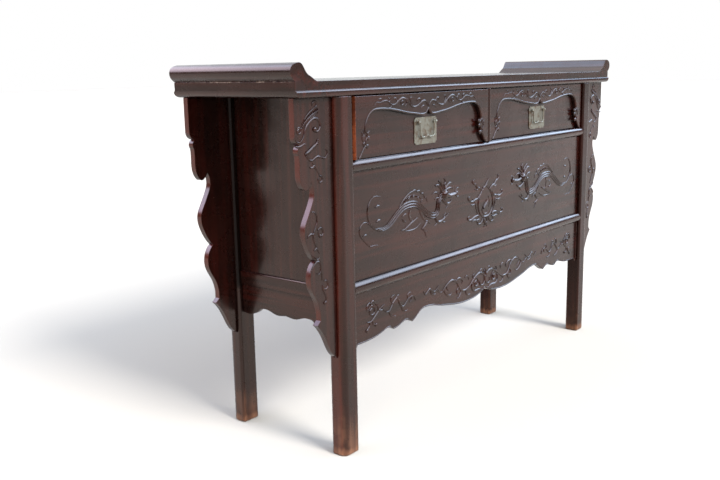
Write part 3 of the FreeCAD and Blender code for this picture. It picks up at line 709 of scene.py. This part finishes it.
def apron_wave():
    return [
        ridge([(-466, 320), (-458, 311), (-448, 304), (-437, 305), (-428, 314), (-418, 325), (-408, 329),
               (-400, 322), (-394, 310), (-384, 303), (-373, 308), (-361, 317), (-347, 321), (-335, 316),
               (-330, 306)], 6.6),
        ridge([(-425, 318), (-430, 328), (-427, 337), (-417, 340)], 6),
        ridge([(-412, 328), (-404, 335), (-394, 333)], 5.4),
        ridge([(-440, 304), (-434, 294), (-424, 288), (-412, 286)], 6.6),
        ridge([(-388, 303), (-384, 294), (-374, 289), (-364, 291)], 6),
        ridge([(-361, 317), (-364, 326), (-356, 332), (-346, 330)], 5.4),
        ridge([(-347, 321), (-348, 312), (-356, 307)], 5.4),
    ]


def apron_middle():
    return [
        ridge([(-296, 322), (-288, 312), (-281, 316), (-269, 322), (-257, 315), (-247, 311), (-236, 317),
               (-226, 324)], 6.6),
        ridge([(-266, 318), (-260, 308), (-250, 304), (-240, 305)], 6),
        ridge([(-240, 315), (-230, 309), (-222, 303), (-212, 303)], 6),
        ridge([(-216, 300), (-206, 308), (-194, 316), (-180, 322), (-166, 324), (-152, 320), (-141, 312),
               (-134, 301), (-126, 291), (-113, 285), (-99, 285), (-86, 290)], 7.2, 0.4, 0.8),
        ridge([(-206, 308), (-200, 299), (-190, 290), (-178, 286), (-167, 290)], 7.8),
        ridge([(-192, 312), (-186, 303), (-176, 299)], 6),
        ridge([(-150, 318), (-138, 323), (-124, 321), (-115, 313), (-118, 305)], 6.6),
        ridge([(-104, 318), (-95, 322), (-86, 317), (-84, 308)], 6),
        ridge([(-134, 300), (-142, 292), (-141, 283), (-130, 281)], 6.6),
        ridge([(-120, 288), (-126, 278), (-134, 271), (-144, 270)], 6.6),
        ridge([(-100, 285), (-97, 275), (-88, 268), (-76, 269)], 6.6),
    ]


def apron_volute():
    return [
        ridge([(-96, 283), (-84, 290), (-72, 297), (-60, 306), (-46, 313), (-30, 317), (-15, 314),
               (-4, 305), (-1, 293), (-7, 283), (-18, 280), (-26, 286), (-24, 294)], 8.4, 0.5, 0.7),
        ridge(curl(-47, 293, 3, 14, 0.05, 1.2), 6.6, 1.0, 0.5),
        bud(-47, 293, 4.5),
        ridge([(-66, 296), (-68, 285), (-62, 275), (-51, 271), (-38, 272), (-26, 271), (-15, 267),
               (-5, 272)], 7.2, 0.7, 0.4),
        ridge([(-4, 305), (-4, 316), (-1, 326)], 7.2, 0.9, 0.3),
        ridge([(-30, 317), (-24, 325), (-14, 327)], 6, 0.9, 0.3),
        ridge([(-60, 306), (-62, 316), (-54, 322)], 6, 0.9, 0.3),
    ]


def apron_vine():
    """Leafy scrolls along the left half of the apron."""
    return apron_corner() + apron_wave() + apron_middle() + apron_volute()


def frieze_vine():
    """Right half of the scrolls over a drawer, about the middle of its frieze."""
    return [
        ridge([(2, 783), (7, 791), (16, 796), (28, 794), (42, 787), (57, 783), (69, 786), (78, 793),
               (90, 801), (104, 805), (118, 801), (129, 794), (141, 791), (152, 795), (163, 801),
               (176, 801), (189, 798), (201, 799), (211, 792)], 6, 0.8, 0.4),
        ridge([(28, 794), (36, 801), (45, 800), (46, 794)], 4.6, 0.8, 0.6),
        ridge([(64, 784), (72, 795), (74, 804), (66, 806)], 5, 0.8, 0.5),
        ridge(curl(105, 795, 2.5, 7, 0.0, 1.1), 4.6, 1.0, 0.6),
        ridge([(88, 800), (90, 790), (97, 786)], 4.6, 0.8, 0.4),
        ridge([(124, 797), (130, 805), (140, 806)], 4.6, 0.8, 0.4),
        ridge([(146, 792), (150, 785), (160, 786)], 4.6, 0.8, 0.4),
        ridge([(156, 797), (152, 804), (160, 808)], 4.4, 0.8, 0.4),
        ridge([(180, 800), (186, 806), (196, 806)], 4.4, 0.8, 0.4),
        ridge([(17, 785), (26, 783), (33, 778)], 4.4, 0.8, 0.4),
        ridge([(251, 742), (246, 736), (247, 729), (253, 724)], 5.2, 0.4, 0.6),
        ridge([(257, 738), (252, 731), (254, 722), (250, 714)], 5.2, 0.4, 0.6),
        ridge([(244, 716), (250, 710), (247, 704)], 5.8, 0.4, 0.9),
    ]


LONG_LEAF = [(-664, 791), (-677, 785), (-690, 779), (-701, 772), (-711, 764), (-718, 757)]
SHORT_LEAF = [(-712, 702), (-701, 705), (-691, 711), (-681, 717), (-672, 723), (-669, 731)]


def spandrel_top():
    return [
        ridge(curl(-677, 802, 8, 5, 0.55, -0.85), 4.8, 0.8, 0.9),
        ridge(LONG_LEAF, 6, 0.4, 0.5),
        ridge([(-678, 795), (-690, 789), (-701, 781), (-711, 772)], 4.8, 0.4, 0.4),
        ridge([(-672, 783), (-684, 777), (-696, 771), (-706, 763)], 4.8, 0.4, 0.4),
        ridge([(-682, 751), (-674, 746), (-665, 750), (-661, 760), (-666, 770), (-678, 774), (-690, 770),
               (-701, 762), (-708, 752), (-712, 741), (-718, 732), (-727, 727), (-736, 730),
               (-741, 738)], 6.6, 0.9, 0.3),
        bud(-679, 751, 5.5),
        ridge(curl(-727, 750, 8, 3, 0.4, -1.2), 4.8, 0.8, 1.0),
        ridge([(-719, 757), (-719, 749), (-723, 743)], 4.8, 0.6, 0.4),
        ridge([(-740, 721), (-731, 718), (-721, 720), (-712, 723), (-705, 720)], 6.6),
        ridge(SHORT_LEAF, 7.8, 0.4, 0.4),
        ridge([(-704, 699), (-693, 704), (-683, 711), (-674, 717)], 4.8, 0.3, 0.3),
        ridge([(-708, 698), (-699, 690), (-690, 687), (-680, 692), (-670, 694), (-660, 691), (-650, 689),
               (-643, 694), (-641, 702), (-647, 708)], 6.6),
        ridge([(-697, 673), (-690, 672), (-682, 677)], 6.6),
        ridge([(-688, 682), (-682, 672), (-674, 664), (-669, 655)], 4.2, 0.6, 0.6),
        ridge(curl(-666, 645, 8, 5.5, 0.3, -0.9), 5.4, 0.8, 0.8),
    ]


def spandrel_foot():
    return [
        ridge([(-697, 579), (-687, 577), (-680, 570), (-679, 558), (-684, 545), (-690, 533), (-692, 520),
               (-687, 508), (-680, 496), (-674, 485)], 5.8, 0.4, 0.5),
        ridge([(-711, 524), (-706, 530), (-698, 532), (-690, 529)], 6.6),
        ridge(curl(-669, 531, 11, 6, 0.42, -1.0), 5.8, 0.8, 0.9),
        bud(-671, 524, 4),
        ridge([(-692, 494), (-685, 498), (-678, 496)], 6),
        ridge([(-700, 487), (-692, 478), (-682, 474), (-674, 478)], 6.6),
        ridge([(-703, 450), (-696, 461), (-686, 468), (-676, 468), (-671, 459), (-672, 448), (-679, 441),
               (-688, 446)], 6),
        ridge([(-672, 448), (-668, 436), (-669, 425)], 4.8, 0.8, 0.5),
        ridge(curl(-659, 413, 11, 8, 0.3, -0.85), 5.8, 0.8, 0.9),
        ridge([(-668, 407), (-662, 396), (-656, 386), (-658, 376), (-666, 374)], 5.4, 0.6, 0.9),
        bud(-661, 374, 4.5),
    ]


def spandrel_vine():
    """Feathered scrolls down the front of the left spandrel."""
    leaves = feathers(LONG_LEAF, 10) + feathers(SHORT_LEAF, 9)
    return spandrel_top() + spandrel_foot() + leaves


def front_outline(node):
    """The outline of a board's front face, in order, in metres: points (x, z)."""
    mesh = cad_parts[node].data
    low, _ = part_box(node)
    uses = {}
    for face in mesh.polygons:
        if face.normal.y > FRONT_NORMAL or abs(face.center.y - low.y) > FACE_TOLERANCE:
            continue
        corners = [tuple(round(c, 6) for c in mesh.vertices[index].co) for index in face.vertices]
        for a, b in zip(corners, corners[1:] + corners[:1]):
            uses[frozenset((a, b))] = uses.get(frozenset((a, b)), 0) + 1
    links = {}
    for side, count in uses.items():
        if count == 1 and len(side) == 2:
            a, b = side
            links.setdefault(a, []).append(b)
            links.setdefault(b, []).append(a)
    start = min(links)
    loop = [start]
    before, here = start, links[start][0]
    while here != start:
        loop.append(here)
        before, here = here, next(point for point in links[here] if point != before)
    return [(x, z) for x, _, z in loop]


def edge_bead(name, node, width, body, material):
    """A small bead along the shaped edge of a board, left out on its straight sides."""
    low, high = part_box(node)
    outline = front_outline(node)
    turn = sum(a[0] * b[1] - b[0] * a[1] for a, b in zip(outline, outline[1:] + outline[:1]))
    shaped = []
    for x, z in outline:
        if low.x + SIDE_MARGIN < x < high.x - SIDE_MARGIN and z < high.z - SIDE_MARGIN:
            shaped.append((x / MM, z / MM))
    gap = max(range(len(shaped)), key=lambda k: (Vector(shaped[k]) - Vector(shaped[k - 1])).length)
    shaped = shaped[gap:] + shaped[:gap]
    line = beside(shaped, math.copysign(width / 2, turn))
    carved(name, [ridge(line, width, 1.0, 1.0)], low.y, body, material)


def face_of(node):
    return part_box(node)[0].y


def add_carvings():
    material = Lacquer("lacquer_carving", "X", edge=CARVED_EDGE, gloss=0.22).done()
    panel = face_of("front_panel")
    carved("dragon_left", dragon(), panel, "case", material)
    carved("dragon_right", flipped(dragon()), panel, "case", material)
    carved("flaming_pearl", flaming_pearl(), panel, "case", material)
    apron = face_of("front_apron")
    carved("apron_scrolls", apron_vine() + flipped(apron_vine()), apron, "case", material)
    edge_bead("apron_bead", "front_apron", APRON_BEAD, "case", material)
    spandrel = face_of("spandrel_front_left")
    carved("spandrel_scrolls_left", spandrel_vine(), spandrel, "case", material)
    carved("spandrel_scrolls_right", flipped(spandrel_vine()), spandrel, "case", material)
    for side in ("left", "right"):
        low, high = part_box("drawer_frieze_" + side)
        middle = (low.x + high.x) / 2 / MM
        scrolls = moved(frieze_vine() + flipped(frieze_vine()), middle)
        carved("frieze_scrolls_" + side, scrolls, low.y, "drawer_" + side, material)
        edge_bead("frieze_bead_" + side, "drawer_frieze_" + side, FRIEZE_BEAD, "drawer_" + side, material)


# Finish of the construction: how the names of its nodes start
ALONG_X = ("front_", "drawer_rail", "lower_rail", "top_back", "top_board", "back_panel")
ALONG_Y = ("side_rail", "side_apron")
ALONG_Z = ("side_panel", "drawer_divider")
DRAWER_FACES = ("drawer_front", "drawer_frieze")
INNER_ALONG_X = ("drawer_back", "drawer_bottom", "floor_boards")
ANY_OTHER = ""


def top_lacquer(name, grain, **settings):
    lacquer = Lacquer(name, grain, **settings)
    lacquer.age_top()
    return lacquer.done()


def spandrel_lacquer():
    lacquer = Lacquer("lacquer_spandrels", "Z")
    lacquer.redden_and_light_sides(0.9)
    return lacquer.done()


def front_leg_lacquer():
    lacquer = Lacquer("lacquer_legs", "Z", edge=LEG_EDGE, red=0.75, shade_strength=0.1)
    lacquer.redden_and_light_sides(0.55)
    lacquer.wear_feet()
    return lacquer.done()


def back_leg_lacquer():
    lacquer = Lacquer("lacquer_back_legs", "Z")
    lacquer.shade_corner()
    lacquer.wear_feet()
    return lacquer.done()


def drawer_lacquer():
    lacquer = Lacquer("lacquer_drawer_faces", "X")
    lacquer.bare_drawer_end()
    return lacquer.done()


def finish_nodes():
    """Each node takes the first material in the list whose start its name has."""
    choices = [
        ("top_end", top_lacquer("lacquer_top_ends", "Y", red=1.0)),
        ("top_front", top_lacquer("lacquer_top_edge", "X")),
        ("leg_back", back_leg_lacquer()),
        ("leg_", front_leg_lacquer()),
        ("spandrel", spandrel_lacquer()),
        (DRAWER_FACES, drawer_lacquer()),
        ("handle_", aged_brass("aged_brass")),
        (ALONG_X, Lacquer("lacquer_along_x", "X").done()),
        (ALONG_Y, Lacquer("lacquer_along_y", "Y", red=1.0).done()),
        (ALONG_Z, Lacquer("lacquer_along_z", "Z", red=0.9).done()),
        (INNER_ALONG_X, bare_wood("bare_wood_along_x", "X")),
        (ANY_OTHER, bare_wood("bare_wood_along_y", "Y")),
    ]
    for name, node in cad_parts.items():
        material = next(finish for start, finish in choices if name.startswith(start))
        node.data.materials.clear()
        node.data.materials.append(material)


# Stage
def add_floor():
    reach = FLOOR_REACH
    mesh = bpy.data.meshes.new("floor")
    corners = [(-reach, -reach, 0), (reach, -reach, 0), (reach, reach, 0), (-reach, reach, 0)]
    mesh.from_pydata(corners, [], [(0, 1, 2, 3)])
    floor = bpy.data.objects.new("floor", mesh)
    bpy.context.scene.collection.objects.link(floor)
    paint = bpy.data.materials.new("floor")
    paint.use_nodes = True
    shader = paint.node_tree.nodes["Principled BSDF"]
    shader.inputs["Base Color"].default_value = (*FLOOR, 1.0)
    shader.inputs["Roughness"].default_value = 0.9
    shader.inputs["Specular IOR Level"].default_value = 0.1
    mesh.materials.append(paint)


def add_sun(name, direction, strength, softness):
    """A soft white sun that leaves the gloss to the windows."""
    lamp = bpy.data.lights.new(name, "SUN")
    lamp.energy = strength
    lamp.angle = softness
    light = bpy.data.objects.new(name, lamp)
    light.rotation_euler = Vector(direction).to_track_quat("-Z", "Y").to_euler()
    light.visible_glossy = False
    bpy.context.scene.collection.objects.link(light)


def dome_colour(sky):
    """A window to the right and one to the left, a sky over the back left, and a pale back low down."""
    direction = sky.add("ShaderNodeTexCoord").outputs["Generated"]
    height = sky.parts(direction)["Z"]
    across = sky.dot(direction, RIGHT_SIDE)
    low = sky.mix(sky.band(sky.dot(direction, BACK_SIDE), *BACK_EDGE), LOW_LIGHT, BACK_LIGHT)
    ring = sky.mix(sky.band(across, *RIGHT_EDGE), RING_LIGHT, RIGHT_WINDOW)
    ring = sky.mix(sky.band(across, *LEFT_EDGE), LEFT_WINDOW, ring)
    top = sky.mix(sky.band(across, *SKY_EDGE), SKY_LIGHT, TOP_LIGHT)
    raised = sky.mix(sky.band(height, *RING_EDGE), low, ring)
    return sky.mix(sky.band(height, *TOP_EDGE), raised, top)


def add_world():
    """The light of the dome, with plain white where the camera looks past the object."""
    world = bpy.data.worlds.new("studio")
    world.use_nodes = True
    sky = Nodes(world.node_tree)
    dome = sky.tree.nodes["Background"]
    sky.feed(dome.inputs["Color"], dome_colour(sky))
    backdrop = sky.add("ShaderNodeBackground", {"Color": WHITE})
    seen = sky.add("ShaderNodeLightPath").outputs["Is Camera Ray"]
    inputs = {"Fac": seen, 1: dome.outputs["Background"], 2: backdrop.outputs["Background"]}
    chosen = sky.add("ShaderNodeMixShader", inputs)
    sky.feed(sky.tree.nodes["World Output"].inputs["Surface"], chosen.outputs["Shader"])
    bpy.context.scene.world = world


def add_camera():
    across = Vector((math.cos(CAMERA_YAW), -math.sin(CAMERA_YAW), 0))
    flat = math.cos(CAMERA_PITCH)
    forward = Vector((math.sin(CAMERA_YAW) * flat, math.cos(CAMERA_YAW) * flat, -math.sin(CAMERA_PITCH)))
    down = forward.cross(across)
    c, s = math.cos(CAMERA_ROLL), math.sin(CAMERA_ROLL)
    right = c * across + s * down
    up = s * across - c * down
    lens = bpy.data.cameras.new("camera")
    lens.lens = CAMERA_LENS
    lens.sensor_width = SENSOR_WIDTH
    lens.sensor_fit = "HORIZONTAL"
    camera = bpy.data.objects.new("camera", lens)
    turn = Matrix((right, up, -forward)).transposed()
    camera.matrix_world = Matrix.Translation(CAMERA_PLACE) @ turn.to_4x4()
    bpy.context.scene.collection.objects.link(camera)
    bpy.context.scene.camera = camera


def set_colours():
    scene = bpy.context.scene
    scene.view_settings.view_transform = "Standard"
    scene.view_settings.look = "None"
    scene.cycles.use_denoising = True


add_camera()
add_floor()
add_world()
add_sun("key", KEY_DIRECTION, KEY_STRENGTH, KEY_SOFTNESS)
add_sun("fill", FILL_DIRECTION, FILL_STRENGTH, FILL_SOFTNESS)
set_colours()
finish_nodes()
add_carvings()
